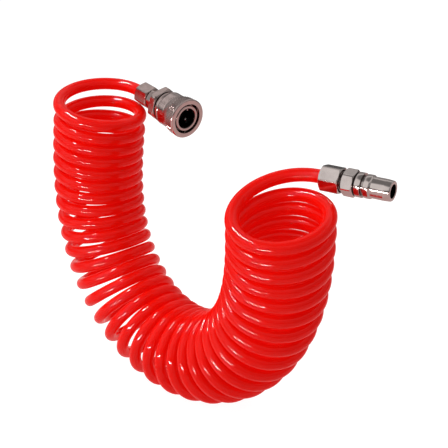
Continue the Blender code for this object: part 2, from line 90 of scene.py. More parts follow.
# ---- the tube and its coil: the same numbers that drive the part ----
TUBE_R = 4.0
COIL_R = 26.75
INNER_PITCH = 8.15
TURNS = 34
STEPS_PER_TURN = 12
FIRST_HEADING = math.radians(-100)
BEND_LENGTH = 381.0
BEND_PEAK = 0.01353
SIDE_LEAN = 0.12
TILT_SOCKET = -0.123
TILT_PLUG = 0.215
TOP_LEVEL = 0.106
LEVEL_TURNS = (1.0, 1.25, 9.5)
PLANE_TURN = math.radians(-41.6)
TAIL_SOCKET = dict(length=219.0, release=0.10, rise=0.073, hump=2.7, straight=5.0)
TAIL_PLUG = dict(length=133.7, release=0.336, rise=0.060, hump=0.0, straight=2.3)
HUMP_FROM = 0.20
HUMP_TO = 0.96
TAIL_IN_NUT = 8.4
HINGE_STEPS_SOCKET = 11.5    # from the whole turn to where the tail lifts, in twelfths of a turn
HINGE_STEPS_PLUG = 5.5

# ---- where the tube is cut into pieces, in turns ----
BEND_MIDDLE = 17.0
LEG_BASE = {"socket": 11.0, "plug": 23.0}
LEG_TOP = {"socket": 2.0, "plug": 33.0}

# ---- fineness of the tube's mesh ----
AROUND = 24
STEP = 2.6                   # mm between cross-sections

# ---- looks that the materials share ----
RED_PAINTED_GLOW = 0.225             # painted glow: red emission that lightens the whole tube evenly, its crevices too
NICKEL_TONE = (0.66, 0.51, 0.48)     # all three are pinker than real nickel, to match the photo
KNURLED_TONE = (0.70, 0.55, 0.52)
BRIGHT_TONE = (0.72, 0.63, 0.60)
SATIN = (0.14, 0.26)         # lowest and highest roughness
POLISHED = (0.08, 0.16)
STAIN = 0.82                 # tone of the plating's stains beside its own
GAP_REACH = 2.5              # mm from a wall within which painted shade darkens the plating
GAP_OPEN = (0.25, 0.75)      # share of open air where that painted shade is full, and where it ends
GAP_PAINTED_SHADE = (0.03, 0.024, 0.022)
BORE_PAINTED_SHADE = (0.02, 0.017, 0.016)
BORE_EDGE = (-0.05, 0.15)    # mm beside a bore's radius where its painted shade starts to end, and ends
MOUTH_DARK_R = 6.75          # painted shade darkens the socket's mouth within this radius
NOSE_DARK_R = 3.9            # and the plug's nose within this one


# ------------------------------------------------------------------ centre line
class CoilAxis:
    """The line through the middle of the coil, with its frame, sampled finely and read by turn."""

    def __init__(self, samples=1600, overrun=14.0):
        length = np.linspace(-overrun, BEND_LENGTH + overrun, samples)
        part = np.clip(length / BEND_LENGTH, 0.0, 1.0)
        curvature = BEND_PEAK * np.sin(np.pi * part)
        heading = self.running_sum(curvature, length)
        start = int(np.searchsorted(length, 0.0))
        heading = heading - heading[start] + FIRST_HEADING
        lean = SIDE_LEAN * part ** 2
        self.along = np.stack([np.cos(heading) * np.cos(lean), -np.sin(lean),
                               np.sin(heading) * np.cos(lean)], axis=1)
        self.outward = np.stack([np.sin(heading), np.zeros(samples), -np.cos(heading)], axis=1)
        self.across = np.cross(self.along, self.outward)
        points = np.stack([self.running_sum(self.along[:, k], length) for k in range(3)], axis=1)
        self.points = points - points[start]
        turns = self.running_sum((1.0 - curvature * COIL_R) / INNER_PITCH, length)
        self.turns = turns - turns[start]
        self.length = length

    @staticmethod
    def running_sum(values, places):
        steps = (values[1:] + values[:-1]) / 2 * np.diff(places)
        return np.concatenate([[0.0], np.cumsum(steps)])

    def read(self, rows, turn):
        columns = [np.interp(turn, self.turns, rows[:, k]) for k in range(3)]
        return np.stack(columns, axis=-1)

    def frame(self, turn):
        """Centre, direction of travel, outward and across directions at a turn."""
        return tuple(self.read(rows, turn) for rows in
                     (self.points, self.along, self.outward, self.across))

    def pitch(self, turn):
        ahead = np.interp(turn + 0.3, self.turns, self.length)
        behind = np.interp(turn - 0.3, self.turns, self.length)
        return (ahead - behind) / 0.6


def unit(vector):
    return vector / np.linalg.norm(vector)


def tilt_at(turn):
    turn = np.asarray(turn)
    part = turn / TURNS
    start, full, gone = LEVEL_TURNS
    grown = np.clip((turn - start) / (full - start), 0.0, 1.0)
    left = np.clip((gone - turn) / (gone - full), 0.0, 1.0)
    level = TOP_LEVEL * grown ** 2 * (3.0 - 2.0 * grown) * left
    return TILT_SOCKET * (1.0 - part) ** 2 + TILT_PLUG * part ** 2 + level


def coil_points(axis, turns):
    centre, along, outward, across = axis.frame(turns)
    angle = 2 * np.pi * np.asarray(turns)
    swing = np.sin(angle)[:, None]
    ring = np.cos(angle)[:, None] * outward - swing * across
    return centre + COIL_R * (ring - swing * tilt_at(turns)[:, None] * along)


def tail_points(axis, turn, towards_socket, length, release, rise, hump, straight, samples=1201):
    """Tube centre line from a whole turn out to the rear of the hose nut, and the arc length of each."""
    centre, along, outward, across = axis.frame(float(turn))
    sheared = unit(across + tilt_at(turn) * along)
    side, up = (sheared, -along) if towards_socket else (-sheared, along)
    arc = np.linspace(0.0, length, samples)
    part = arc / length
    heading = axis.running_sum((1.0 - release * part ** 3) / COIL_R, arc)
    base_rise = axis.pitch(turn) / (2 * np.pi * COIL_R)
    slope = base_rise * (1.0 - part) + rise * np.sin(np.pi * part ** 2)
    out = COIL_R - axis.running_sum(np.sin(heading), arc)
    around = axis.running_sum(np.cos(heading), arc)
    lift = axis.running_sum(slope, arc)
    on_hump = np.clip((part - HUMP_FROM) / (HUMP_TO - HUMP_FROM), 0.0, 1.0)
    lift = lift + hump * np.sin(np.pi * on_hump) ** 2
    points = centre + out[:, None] * outward + around[:, None] * side + lift[:, None] * up
    beyond = np.linspace(0.0, straight, 31)[1:]
    end = points[-1] + beyond[:, None] * unit(points[-1] - points[-3])
    return np.concatenate([points, end]), np.concatenate([arc, length + beyond])


class HoseLine:
    """The tube's centre line from the socket to the plug, in the frame's millimetres, by arc length."""

    def __init__(self):
        axis = CoilAxis()
        turn = np.array(Matrix.Rotation(PLANE_TURN, 3, "Z"))
        socket, _ = tail_points(axis, 1, True, **TAIL_SOCKET)
        plug, _ = tail_points(axis, TURNS, False, **TAIL_PLUG)
        turns = np.linspace(1.0, TURNS, (TURNS - 1) * 96 + 1)
        coil = coil_points(axis, turns)
        points = np.concatenate([socket[::-1], coil[1:-1], plug]) @ turn.T
        held = np.array(JOINTS["plug_nut_turn"]["pos_m"]) / MM
        points += held - points[-1]
        ahead = self.push(points[0], points[0] - points[2])
        behind = self.push(points[-1], points[-1] - points[-3])
        self.points = np.concatenate([[ahead], points, [behind]])
        steps = np.linalg.norm(np.diff(self.points, axis=0), axis=1)
        self.arc = np.concatenate([[0.0], np.cumsum(steps)])
        first, last = len(socket), len(socket) + len(turns) - 1
        self.coil_turns = turns
        self.coil_arc = self.arc[first:last + 1]
        self.lift = {"socket": self.coil_arc[0] - HINGE_STEPS_SOCKET * self.twelfth(),
                     "plug": self.coil_arc[-1] + HINGE_STEPS_PLUG * self.twelfth()}

    @staticmethod
    def push(point, direction):
        return point + unit(direction) * TAIL_IN_NUT

    @staticmethod
    def twelfth():
        return 2 * np.pi * COIL_R / STEPS_PER_TURN

    def at_turn(self, turn):
        return float(np.interp(turn, self.coil_turns, self.coil_arc))

    def at(self, arc):
        return np.stack([np.interp(arc, self.arc, self.points[:, k]) for k in range(3)], axis=1)


# ------------------------------------------------------------------ looks
class Nodes:
    """Short hand for making shader nodes."""

    def __init__(self, name):
        self.mat = bpy.data.materials.new(name)
        self.mat.use_nodes = True
        self.tree = self.mat.node_tree
        self.bsdf = self.tree.nodes["Principled BSDF"]
        self.where = self.tree.nodes.new("ShaderNodeTexCoord")

    def add(self, kind, **inputs):
        node = self.tree.nodes.new("ShaderNode" + kind)
        for key, value in inputs.items():
            self.set(node, key.replace("_", " "), value)
        return node

    def set(self, node, key, value):
        if isinstance(value, bpy.types.NodeSocket):
            self.tree.links.new(value, node.inputs[key])
        else:
            node.inputs[key].default_value = value

    def noise(self, scale, detail=3.0, roughness=0.55, stretch=None):
        vector = self.where.outputs["Object"]
        if stretch is not None:
            mapping = self.add("Mapping", Vector=vector, Scale=stretch)
            vector = mapping.outputs["Vector"]
        node = self.add("TexNoise", Vector=vector, Scale=scale, Detail=detail, Roughness=roughness)
        return node.outputs["Fac"]

    def between(self, value, low, high):
        """Map a noise value's middle range onto low to high."""
        node = self.add("MapRange", Value=value)
        node.inputs["From Min"].default_value = 0.3
        node.inputs["From Max"].default_value = 0.7
        node.inputs["To Min"].default_value = low
        node.inputs["To Max"].default_value = high
        return node.outputs["Result"]

    def span(self, value, low, high):
        """0 where a value is at low and 1 where it is at high."""
        node = self.add("MapRange", Value=value)
        node.inputs["From Min"].default_value = low
        node.inputs["From Max"].default_value = high
        return node.outputs["Result"]

    def mix(self, factor, first, second):
        node = self.tree.nodes.new("ShaderNodeMix")
        node.data_type = "RGBA"
        self.set(node, 0, factor)
        node.inputs[6].default_value = (*first, 1.0)
        node.inputs[7].default_value = (*second, 1.0)
        return node.outputs[2]

    def shade(self, colour, factor, dark):
        """The colour times a tone that runs from dark at factor 0 to white at factor 1."""
        node = self.tree.nodes.new("ShaderNodeMix")
        node.data_type = "RGBA"
        node.blend_type = "MULTIPLY"
        node.inputs[0].default_value = 1.0
        self.tree.links.new(colour, node.inputs[6])
        self.tree.links.new(self.mix(factor, dark, (1.0, 1.0, 1.0)), node.inputs[7])
        return node.outputs[2]

    def bump(self, height, distance, strength=1.0):
        node = self.add("Bump", Height=height, Strength=strength, Distance=distance)
        self.set(self.bsdf, "Normal", node.outputs["Normal"])


def red_tube():
    """Glossy red polyurethane, a little clear, with faint drawing marks and haze."""
    n = Nodes("red_polyurethane")
    cloud = n.between(n.noise(38.0), 0.0, 1.0)
    n.set(n.bsdf, "Base Color", n.mix(cloud, (0.71, 0.006, 0.003), (0.64, 0.005, 0.002)))
    n.set(n.bsdf, "Roughness", n.between(n.noise(160.0, 4.0), 0.05, 0.08))
    n.set(n.bsdf, "Subsurface Weight", 0.6)
    n.set(n.bsdf, "Subsurface Radius", (1.0, 0.05, 0.02))
    n.set(n.bsdf, "Subsurface Scale", 0.004)
    n.set(n.bsdf, "IOR", 1.45)
    n.set(n.bsdf, "Specular IOR Level", 0.25)
    # Painted glow: the tube gives off red light of its own, lifting its shading.
    n.set(n.bsdf, "Emission Color", (1.0, 0.004, 0.002, 1.0))
    n.set(n.bsdf, "Emission Strength", RED_PAINTED_GLOW)
    n.bump(n.noise(420.0, 2.0), 0.00006, 0.2)
    return n.mat


def plated(name, tone, rough, bore=None, reach=GAP_REACH, gap=GAP_OPEN):
    """Nickel plating over turned metal: fine rings of tooling and slight staining.

    Painted shade darkens it beside a wall within reach, and inside a bore."""
    n = Nodes(name)
    stain = n.between(n.noise(140.0, 5.0), 0.0, 1.0)
    colour = n.mix(stain, tone, tuple(STAIN * c for c in tone))
    # Painted shade: ambient occlusion darkens the plating beside walls.
    open_air = n.add("AmbientOcclusion", Distance=reach * MM).outputs["AO"]
    colour = n.shade(colour, n.span(open_air, *gap), GAP_PAINTED_SHADE)
    # Painted shade: the plating darkens within the bore's radius.
    if bore is not None:
        split = n.add("SeparateXYZ", Vector=n.where.outputs["Object"])
        flat = n.add("CombineXYZ", X=split.outputs["X"], Y=split.outputs["Y"])
        radius = n.tree.nodes.new("ShaderNodeVectorMath")
        radius.operation = "LENGTH"
        n.tree.links.new(flat.outputs[0], radius.inputs[0])
        dark_to, bright_from = ((bore + away) * MM for away in BORE_EDGE)
        colour = n.shade(colour, n.span(radius.outputs["Value"], dark_to, bright_from), BORE_PAINTED_SHADE)
    n.set(n.bsdf, "Base Color", colour)
    n.set(n.bsdf, "Metallic", 1.0)
    n.set(n.bsdf, "Roughness", n.between(n.noise(260.0, 4.0), *rough))
    tooling = n.noise(900.0, 2.0, stretch=(0.06, 0.06, 1.0))
    n.bump(tooling, 0.00002, 0.5)
    return n.mat


def plain_metal(name, tone, rough):
    n = Nodes(name)
    n.set(n.bsdf, "Base Color", n.mix(n.between(n.noise(300.0), 0.0, 1.0), tone,
                                      tuple(0.75 * c for c in tone)))
    n.set(n.bsdf, "Metallic", 1.0)
    n.set(n.bsdf, "Roughness", n.between(n.noise(500.0, 4.0), *rough))
    n.bump(n.noise(1500.0, 2.0), 0.00002, 0.3)
    return n.mat


def black_rubber():
    n = Nodes("black_rubber")
    n.set(n.bsdf, "Base Color", n.mix(n.between(n.noise(400.0), 0.0, 1.0), (0.012, 0.012, 0.012),
                                      (0.03, 0.03, 0.03)))
    n.set(n.bsdf, "Roughness", n.between(n.noise(700.0), 0.5, 0.7))
    n.bump(n.noise(1800.0), 0.00003, 0.4)
    return n.mat


RED = red_tube()
NICKEL = plated("nickel_plate", NICKEL_TONE, SATIN)
# Painted shade reaching only 0.9 mm darkens the valleys of the sleeve's knurl.
NICKEL_KNURLED = plated("nickel_plate_knurled", KNURLED_TONE, POLISHED, reach=0.9, gap=(0.55, 0.97))
NICKEL_BORED = plated("nickel_plate_bored", NICKEL_TONE, SATIN, bore=MOUTH_DARK_R)
NICKEL_BRIGHT = plated("nickel_plate_bright", BRIGHT_TONE, POLISHED)
NICKEL_BORED_BRIGHT = plated("nickel_plate_bright_bored", BRIGHT_TONE, POLISHED, bore=NOSE_DARK_R)
STEEL = plain_metal("bright_steel", (0.62, 0.61, 0.60), (0.18, 0.32))
# Painted shade: the brass is darkened far below its own tone, so the poppet looks dark deep in the socket.
SHADE_DARKENED_BRASS = plain_metal("turned_brass", (0.16, 0.11, 0.05), (0.22, 0.36))
RUBBER = black_rubber()


def dress(obj, mat):
    obj.data.materials.clear()
    obj.data.materials.append(mat)
    return obj


def tube_piece(name, line, arcs, nodes):
    """A stretch of tube along its centre line, cross-section by cross-section."""
    centres = line.at(arcs)
    ahead = line.at(arcs + 0.4) - line.at(arcs - 0.4)
    tangents = ahead / np.linalg.norm(ahead, axis=1)[:, None]
    side = np.cross(tangents, np.array([0.0, 0.0, 1.0]))
    side /= np.linalg.norm(side, axis=1)[:, None]
    top = np.cross(side, tangents)
    angle = np.linspace(0.0, 2 * np.pi, AROUND, endpoint=False)
    normals = (np.cos(angle)[None, :, None] * side[:, None, :] +
               np.sin(angle)[None, :, None] * top[:, None, :])
    points = centres[:, None, :] + TUBE_R * normals
    count = len(arcs)
    row = np.arange(count - 1)[:, None] * AROUND
    col = np.arange(AROUND)[None, :]
    after = (col + 1) % AROUND
    quads = np.stack([row + col, row + AROUND + col, row + AROUND + after, row + after], axis=-1)
    mesh = bpy.data.meshes.new(name)
    mesh.from_pydata((points.reshape(-1, 3) * MM).tolist(), [], quads.reshape(-1, 4).tolist())
    mesh.polygons.foreach_set("use_smooth", [True] * len(mesh.polygons))
    mesh.update()
    mesh.normals_split_custom_set_from_vertices(normals.reshape(-1, 3).tolist())
    obj = bpy.data.objects.new(name, mesh)
    bpy.context.scene.collection.objects.link(obj)
    dress(obj, RED)
    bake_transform(obj)
    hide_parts(*nodes)
    return obj


def arcs_between(start, end):
    """Places along the tube between two arc lengths, always in the tube's own direction."""
    count = max(2, int(round(abs(end - start) / STEP)) + 1)
    return np.linspace(min(start, end), max(start, end), count)


def hose(line):
    for side in ("socket", "plug"):
        middle, base, top = (line.at_turn(t) for t in (BEND_MIDDLE, LEG_BASE[side], LEG_TOP[side]))
        end = line.arc[0] if side == "socket" else line.arc[-1]
        arcs = arcs_between(middle, base)
        tube_piece(f"hose_bend_{side}_half", line, arcs,
                   ["hose_bend"])
        arcs = arcs_between(base, top)
        tube_piece(f"hose_leg_coils_{side}", line, arcs,
                   ["hose_leg_" + side])
        arcs = arcs_between(top, end)
        tube_piece(f"hose_free_end_{side}", line, arcs,
                   ["hose_top_turns_" + side, "hose_tail_" + side])


# ------------------------------------------------------------------ turned and hexagonal pieces
def mesh_object(name, bm, place, smooth_angle=math.radians(28)):
    mesh = bpy.data.meshes.new(name)
    bm.to_mesh(mesh)
    bm.free()
    mesh.polygons.foreach_set("use_smooth", [True] * len(mesh.polygons))
    mesh.set_sharp_from_angle(angle=smooth_angle)
    obj = bpy.data.objects.new(name, mesh)
    obj.matrix_world = place
    bpy.context.scene.collection.objects.link(obj)
    return obj


def ring_mesh(rings, closed):
    """Join rings of points, each an array of (count, 3), into quads. A closed set joins last to first."""
    bm = bmesh.new()
    rows = [[bm.verts.new(tuple(p * MM)) for p in ring] for ring in rings]
    count = len(rows[0])
    pairs = list(zip(rows, rows[1:]))
    if closed:
        pairs.append((rows[-1], rows[0]))
    for upper, lower in pairs:
        for k in range(count):
            nxt = (k + 1) % count
            bm.faces.new((upper[k], lower[k], lower[nxt], upper[nxt]))
    return bm


def circle(radius, height, segments):
    angle = np.linspace(0.0, 2 * np.pi, segments, endpoint=False)
    return np.stack([radius * np.cos(angle), radius * np.sin(angle), np.full(segments, height)], axis=1)


def round_corners(outline, closed, size=0.18):
    """Cut each corner of a (radius, height) outline back a little, so that edges catch the light."""
    points = [np.array(p, float) for p in outline]
    count = len(points)
    softened = []
    for k, point in enumerate(points):
        if not closed and k in (0, count - 1):
            softened.append(point)
            continue
        before, after = points[k - 1], points[(k + 1) % count]
        reach = min(size, 0.35 * np.linalg.norm(before - point), 0.35 * np.linalg.norm(after - point))
        first = point + unit(before - point) * reach
        last = point + unit(after - point) * reach
        softened += [first, (first + last + 2 * point) / 4, last]
    return softened


def turned(name, outline, place, closed=True, segments=96, soft=0.18):
    """Turn an outline of (radius, height), outer side downwards, about the fitting's axis."""
    points = round_corners(outline, closed, soft) if soft else outline
    bm = ring_mesh([circle(radius, height, segments) for radius, height in points], closed)
    if not closed:
        close_ends(bm, segments)
    bmesh.ops.recalc_face_normals(bm, faces=bm.faces)
    return mesh_object(name, bm, place)


def close_ends(bm, count):
    """Cap the first and the last ring, each of count points."""
    bm.verts.ensure_lookup_table()
    bm.faces.new(list(reversed(bm.verts[:count])))
    bm.faces.new(list(bm.verts[-count:]))


def hexagon_outline(flats, radius_cap, segments):
    """Distance to a hexagon's side at each angle, held in by a round cap. A flat faces +X."""
    angle = np.linspace(0.0, 2 * np.pi, segments, endpoint=False)
    nearest = (angle + math.pi / 6) % (math.pi / 3) - math.pi / 6
    reach = flats / 2 / np.cos(nearest)
    return angle, np.minimum(reach, radius_cap)


def hexagonal(name, flats, levels, inner, place, segments=144, edge=0.22):
    """A chamfered hexagon with a bored hole. levels are (height, cap radius) from the top down;
    inner is an outline of (radius, height) from the bottom back up to the top."""
    rings = []
    for height, cap in levels:
        angle, reach = hexagon_outline(flats, cap, segments)
        soft = flats / 2 / math.cos(math.pi / 6) - edge
        reach = np.minimum(reach, soft)
        rings.append(np.stack([reach * np.cos(angle), reach * np.sin(angle),
                               np.full(segments, height)], axis=1))
    rings += [circle(radius, height, segments) for radius, height in inner]
    bm = ring_mesh(rings, True)
    bmesh.ops.recalc_face_normals(bm, faces=bm.faces)
    return mesh_object(name, bm, place, math.radians(22))


def chamfer_levels(flats, bottom, top, count=7):
    """Heights and cap radii that take the corners off both ends of a hexagon at thirty degrees."""
    corner = flats / 2 / math.cos(math.pi / 6)
    face = flats / 2 - 0.25
    drop = (corner - face) * math.tan(math.radians(30))
    part = np.linspace(0.0, 1.0, count)
    upper = [(top - drop * p, face + (corner - face) * p) for p in part]
    lower = [(bottom + drop * p, face + (corner - face) * p) for p in part[::-1]]
    return upper + lower


def fitting_frame(side):
    """Local Z runs along the fitting from the rear of its hose nut."""
    joint = JOINTS[side + "_nut_turn"]
    turn = Vector(joint["axis"]).to_track_quat("Z", "X").to_matrix().to_4x4()
    return Matrix.Translation(Vector(joint["pos_m"])) @ turn @ about_axis(TWIST[side])


def about_axis(angle):
    return Matrix.Rotation(angle, 4, "Z")


def finish_piece(obj, mat, body, nodes=()):
    dress(obj, mat)
    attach(obj, body)
    if nodes:
        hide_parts(*nodes)
    return obj


def thread_rings(radius, depth, bottom, top, pitch, segments, inner):
    """Rings of a screw thread; the crest winds once in every pitch."""
    heights = np.arange(bottom, top + 0.01, pitch / 6)
    angle = np.linspace(0.0, 2 * np.pi, segments, endpoint=False)
    rings = []
    for height in heights[::-1]:
        phase = (height / pitch - angle / (2 * np.pi)) % 1.0
        ridge = 1.0 - np.abs(2 * phase - 1.0)
        fade = min(1.0, (height - bottom) / pitch, (top - height) / pitch)
        reach = radius - depth + depth * ridge * max(fade, 0.0)
        rings.append(np.stack([reach * np.cos(angle), reach * np.sin(angle),
                               np.full(segments, height)], axis=1))
    rings.append(circle(inner, heights[0], segments))
    rings.append(circle(inner, heights[-1], segments))
    return rings


def threaded(name, radius, bottom, top, inner, place, pitch=1.0, depth=0.55, segments=72):
    bm = ring_mesh(thread_rings(radius, depth, bottom, top, pitch, segments, inner), True)
    bmesh.ops.recalc_face_normals(bm, faces=bm.faces)
    return mesh_object(name, bm, place, math.radians(50))


# ------------------------------------------------------------------ fittings
TWIST = {"socket": math.radians(20.9), "plug": math.radians(-7.5)}
PLUG_HEX_TURN = math.radians(21.3)
NUT_FLATS = 14.0
NUT_LENGTH = 12.0
AIR_R = 2.5                  # the passage through the adaptor and the plug
THREAD_R = 5.7
THREAD_FROM = 9.3
ADAPTOR_FLATS = 13.0
ADAPTOR_HEX = (12.4, 19.2)
ADAPTOR_TURN = math.radians(30)
ADAPTOR_TO = 23.4
BODY_FLATS = 21.0
BODY_R = 8.6
BODY_BORE_R = 6.0
BODY_FROM = 20.5
BODY_HEX_TO = 26.0
BODY_TO = 48.4
COLLAR_R = 10.3
COLLAR = (27.3, 29.1)
MOUTH_R = 6.3
SEAT_R = 4.0
SEAT_FROM = 33.0
SEAT_TO = 34.5
SEAL_GROOVE = (35.0, 37.2)
BALL_R = 1.6
BALL_HOLE_R = BALL_R + 0.3
DRILL_LENGTH = 6.0
DRILL_MIDDLE_R = 7.5
BALL_COUNT = 6
BALL_Z = 40.2
BALL_SEATED = 7.0
SLEEVE_R = 13.1
SLEEVE_REAR_R = 11.5
SLEEVE_BORE_R = 10.6
SLEEVE_FRONT_BORE_R = 10.2
SLEEVE_LIP_R = 9.9
SLEEVE_FROM = 30.0
SLEEVE_TO = 49.0
FLARE = (37.4, 42.9)
LAND_FROM = 38.0
RING_Z = (43.9, 44.9)
NOSE_R = 6.0
NOSE_BORE_R = 3.75
NOSE_BORE_FROM = 36.0
PLUG_LENGTH = 41.7
PLUG_HEX = (13.7, 20.6)
PLUG_COLLAR = (21.7, 25.0)
PLUG_COLLAR_R = 7.0
PLUG_BAND = (26.8, 30.3)
PLUG_BAND_R = 6.7
GROOVE_R = 5.3               # the ball groove, between collar and band
WIRE_STEPS = 40              # cross-sections of a spring's wire in each turn
WIRE_AROUND = 10
KNURL = (31.4, 47.5)         # heights between which the sleeve is knurled
KNURL_DEPTH = (0.07, 0.55)   # behind its flare, and in front of it
KNURL_RIDGES = 48            # around the sleeve, each way
KNURL_PITCH = 1.62           # along the sleeve
KNURL_STEP = 0.27            # along the sleeve, between the rings of points that draw it
BARBS = [(2.2, 9.3), (2.2, 7.2), (1.9, 7.0), (2.2, 5.0), (1.9, 4.8), (2.2, 2.8), (1.7, 1.0), (1.5, 1.0),
         (1.5, 9.3)]


def hose_nut(side, place):
    inner = [(TUBE_R + 0.9, 0.0), (TUBE_R + 0.35, 0.5), (TUBE_R + 0.3, 7.4), (THREAD_R + 0.3, 8.6),
             (THREAD_R + 0.3, NUT_LENGTH - 0.5), (THREAD_R + 0.8, NUT_LENGTH)]
    nut = hexagonal(side + "_nut_shell", NUT_FLATS, chamfer_levels(NUT_FLATS, 0.0, NUT_LENGTH), inner, place)
    finish_piece(nut, NICKEL_BRIGHT if side == "plug" else NICKEL, side + "_nut",
                 [side + "_hose_nut"])


def ball_angle(k):
    return 2 * math.pi * (k + 0.5) / BALL_COUNT


def cut_round_holes(obj, place):
    """Drill the ball holes through the wall of the body."""
    for k in range(BALL_COUNT):
        bm = bmesh.new()
        bmesh.ops.create_cone(bm, cap_ends=True, segments=32, radius1=BALL_HOLE_R * MM,
                              radius2=BALL_HOLE_R * MM, depth=DRILL_LENGTH * MM)
        angle = ball_angle(k)
        outward = Vector((math.cos(angle), math.sin(angle), 0.0))
        spot = Matrix.Translation(outward * DRILL_MIDDLE_R * MM + Vector((0, 0, BALL_Z * MM)))
        turn = outward.to_track_quat("Z", "X").to_matrix().to_4x4()
        drill = mesh_object(f"drill_{k}", bm, place @ spot @ turn)
        modifier = obj.modifiers.new("hole", "BOOLEAN")
        modifier.operation = "DIFFERENCE"
        modifier.solver = "EXACT"
        modifier.object = drill
        apply_modifiers(obj)
        bpy.data.objects.remove(drill, do_unlink=True)


def apply_modifiers(obj):
    bpy.context.view_layer.update()
    evaluated = obj.evaluated_get(bpy.context.evaluated_depsgraph_get())
    made = bpy.data.meshes.new_from_object(evaluated)
    obj.modifiers.clear()
    obj.data = made


def socket(place):
    hose_nut("socket", place)
    flange = hexagonal("adaptor_hexagon", ADAPTOR_FLATS, chamfer_levels(ADAPTOR_FLATS, *ADAPTOR_HEX),
                       [(AIR_R, ADAPTOR_HEX[0]), (AIR_R, ADAPTOR_HEX[1])], place @ about_axis(ADAPTOR_TURN))
    finish_piece(flange, NICKEL, "socket_end", ["barb_adaptor"])
    tail_thread = threaded("adaptor_tail_thread", THREAD_R, THREAD_FROM, ADAPTOR_HEX[0], AIR_R, place)
    finish_piece(tail_thread, NICKEL, "socket_end")
    front_thread = threaded("adaptor_front_thread", THREAD_R, ADAPTOR_HEX[1], ADAPTOR_TO, AIR_R, place)
    finish_piece(front_thread, NICKEL, "socket_end")
    spigot = turned("adaptor_spigot", BARBS, place, segments=40)
    finish_piece(spigot, NICKEL, "socket_end")
    low, high = ADAPTOR_HEX[1] + 0.3, BODY_FROM - 0.3
    gasket = turned("adaptor_sealing_ring", [(7.0, high), (7.0, low), (6.2, low), (6.2, high)], place)
    finish_piece(gasket, RUBBER, "socket_end", ["adaptor_gasket"])

    hexagon = hexagonal("socket_hexagon", BODY_FLATS, chamfer_levels(BODY_FLATS, BODY_FROM, BODY_HEX_TO),
                        [(BODY_BORE_R + 0.6, BODY_FROM), (BODY_BORE_R, BODY_FROM + 0.6),
                         (BODY_BORE_R, BODY_HEX_TO)], place)
    finish_piece(hexagon, NICKEL, "socket_end", ["socket_body"])
    mouth = [(MOUTH_R, SEAT_TO), (MOUTH_R, SEAL_GROOVE[0]), (MOUTH_R + 1.1, SEAL_GROOVE[0]),
             (MOUTH_R + 1.1, SEAL_GROOVE[1]), (MOUTH_R, SEAL_GROOVE[1]), (MOUTH_R, BODY_TO - 0.7),
             (MOUTH_R + 0.7, BODY_TO)]
    outline = [(BODY_R - 0.4, BODY_TO), (BODY_R, BODY_TO - 0.4), (BODY_R, RING_Z[1] + 0.3),
               (BODY_R - 0.6, RING_Z[1] + 0.3), (BODY_R - 0.6, RING_Z[0] - 0.3), (BODY_R, RING_Z[0] - 0.3),
               (BODY_R, COLLAR[1]), (COLLAR_R, COLLAR[1]), (COLLAR_R, COLLAR[0]), (BODY_R, COLLAR[0]),
               (BODY_R, BODY_HEX_TO - 0.3), (BODY_BORE_R, BODY_HEX_TO - 0.3), (BODY_BORE_R, SEAT_FROM),
               (SEAT_R, SEAT_FROM), (SEAT_R, SEAT_TO)]
    barrel = turned("socket_barrel", outline + mouth, place, soft=0.12)
    cut_round_holes(barrel, place)
    finish_piece(barrel, NICKEL_BORED, "socket_end")
    socket_inside(place)
    sleeve(place)


def socket_inside(place):
    low, high = SEAT_FROM - 3.3, SEAT_FROM - 1.5
    poppet = turned("poppet", [(2.2, SEAT_TO + 3.5), (2.6, SEAT_TO + 3.1), (2.6, SEAT_FROM - 0.3),
                               (3.0, SEAT_FROM - 0.3), (3.0, high), (5.2, high), (5.2, low), (1.6, low),
                               (1.6, ADAPTOR_TO + 1.6)], place, closed=False, segments=48)
    finish_piece(poppet, SHADE_DARKENED_BRASS, "valve", ["valve_poppet"])
    seal = turned("poppet_seal", [(4.9, SEAT_FROM - 0.3), (4.9, high + 0.3), (3.3, high + 0.3),
                                  (3.3, SEAT_FROM - 0.3)], place, segments=48)
    finish_piece(seal, RUBBER, "valve", ["valve_seal"])
    packed = (SEAL_GROOVE[0] + 0.3, SEAL_GROOVE[1] - 0.3)
    packing = turned("mouth_packing", [(7.1, packed[1]), (7.1, packed[0]), (6.12, packed[0]),
                                       (6.12, packed[1])], place, soft=0.4)
    finish_piece(packing, RUBBER, "socket_end", ["mouth_seal"])
    ring = turned("snap_ring", [(9.3, RING_Z[1]), (9.3, RING_Z[0]), (8.3, RING_Z[0]), (8.3, RING_Z[1])],
                  place)
    finish_piece(ring, STEEL, "socket_end", ["retaining_ring"])
    for k in range(BALL_COUNT):
        bm = bmesh.new()
        bmesh.ops.create_uvsphere(bm, u_segments=24, v_segments=16, radius=BALL_R * MM)
        angle = ball_angle(k)
        spot = Vector((BALL_SEATED * math.cos(angle), BALL_SEATED * math.sin(angle), BALL_Z)) * MM
        ball = mesh_object(f"steel_ball_{k + 1}", bm, place @ Matrix.Translation(spot))
        finish_piece(ball, STEEL, f"ball_{k + 1}", [f"lock_ball_{k + 1}"])
    spring("sleeve_return_spring", "sleeve_spring", place, mean_r=9.6, wire_r=0.5, turns=3.25,
           seat=COLLAR[1], top_seat=LAND_FROM)
    spring("valve_return_spring", "valve_spring", place, mean_r=4.4, wire_r=0.4, turns=3.0,
           seat=ADAPTOR_TO, top_seat=low)


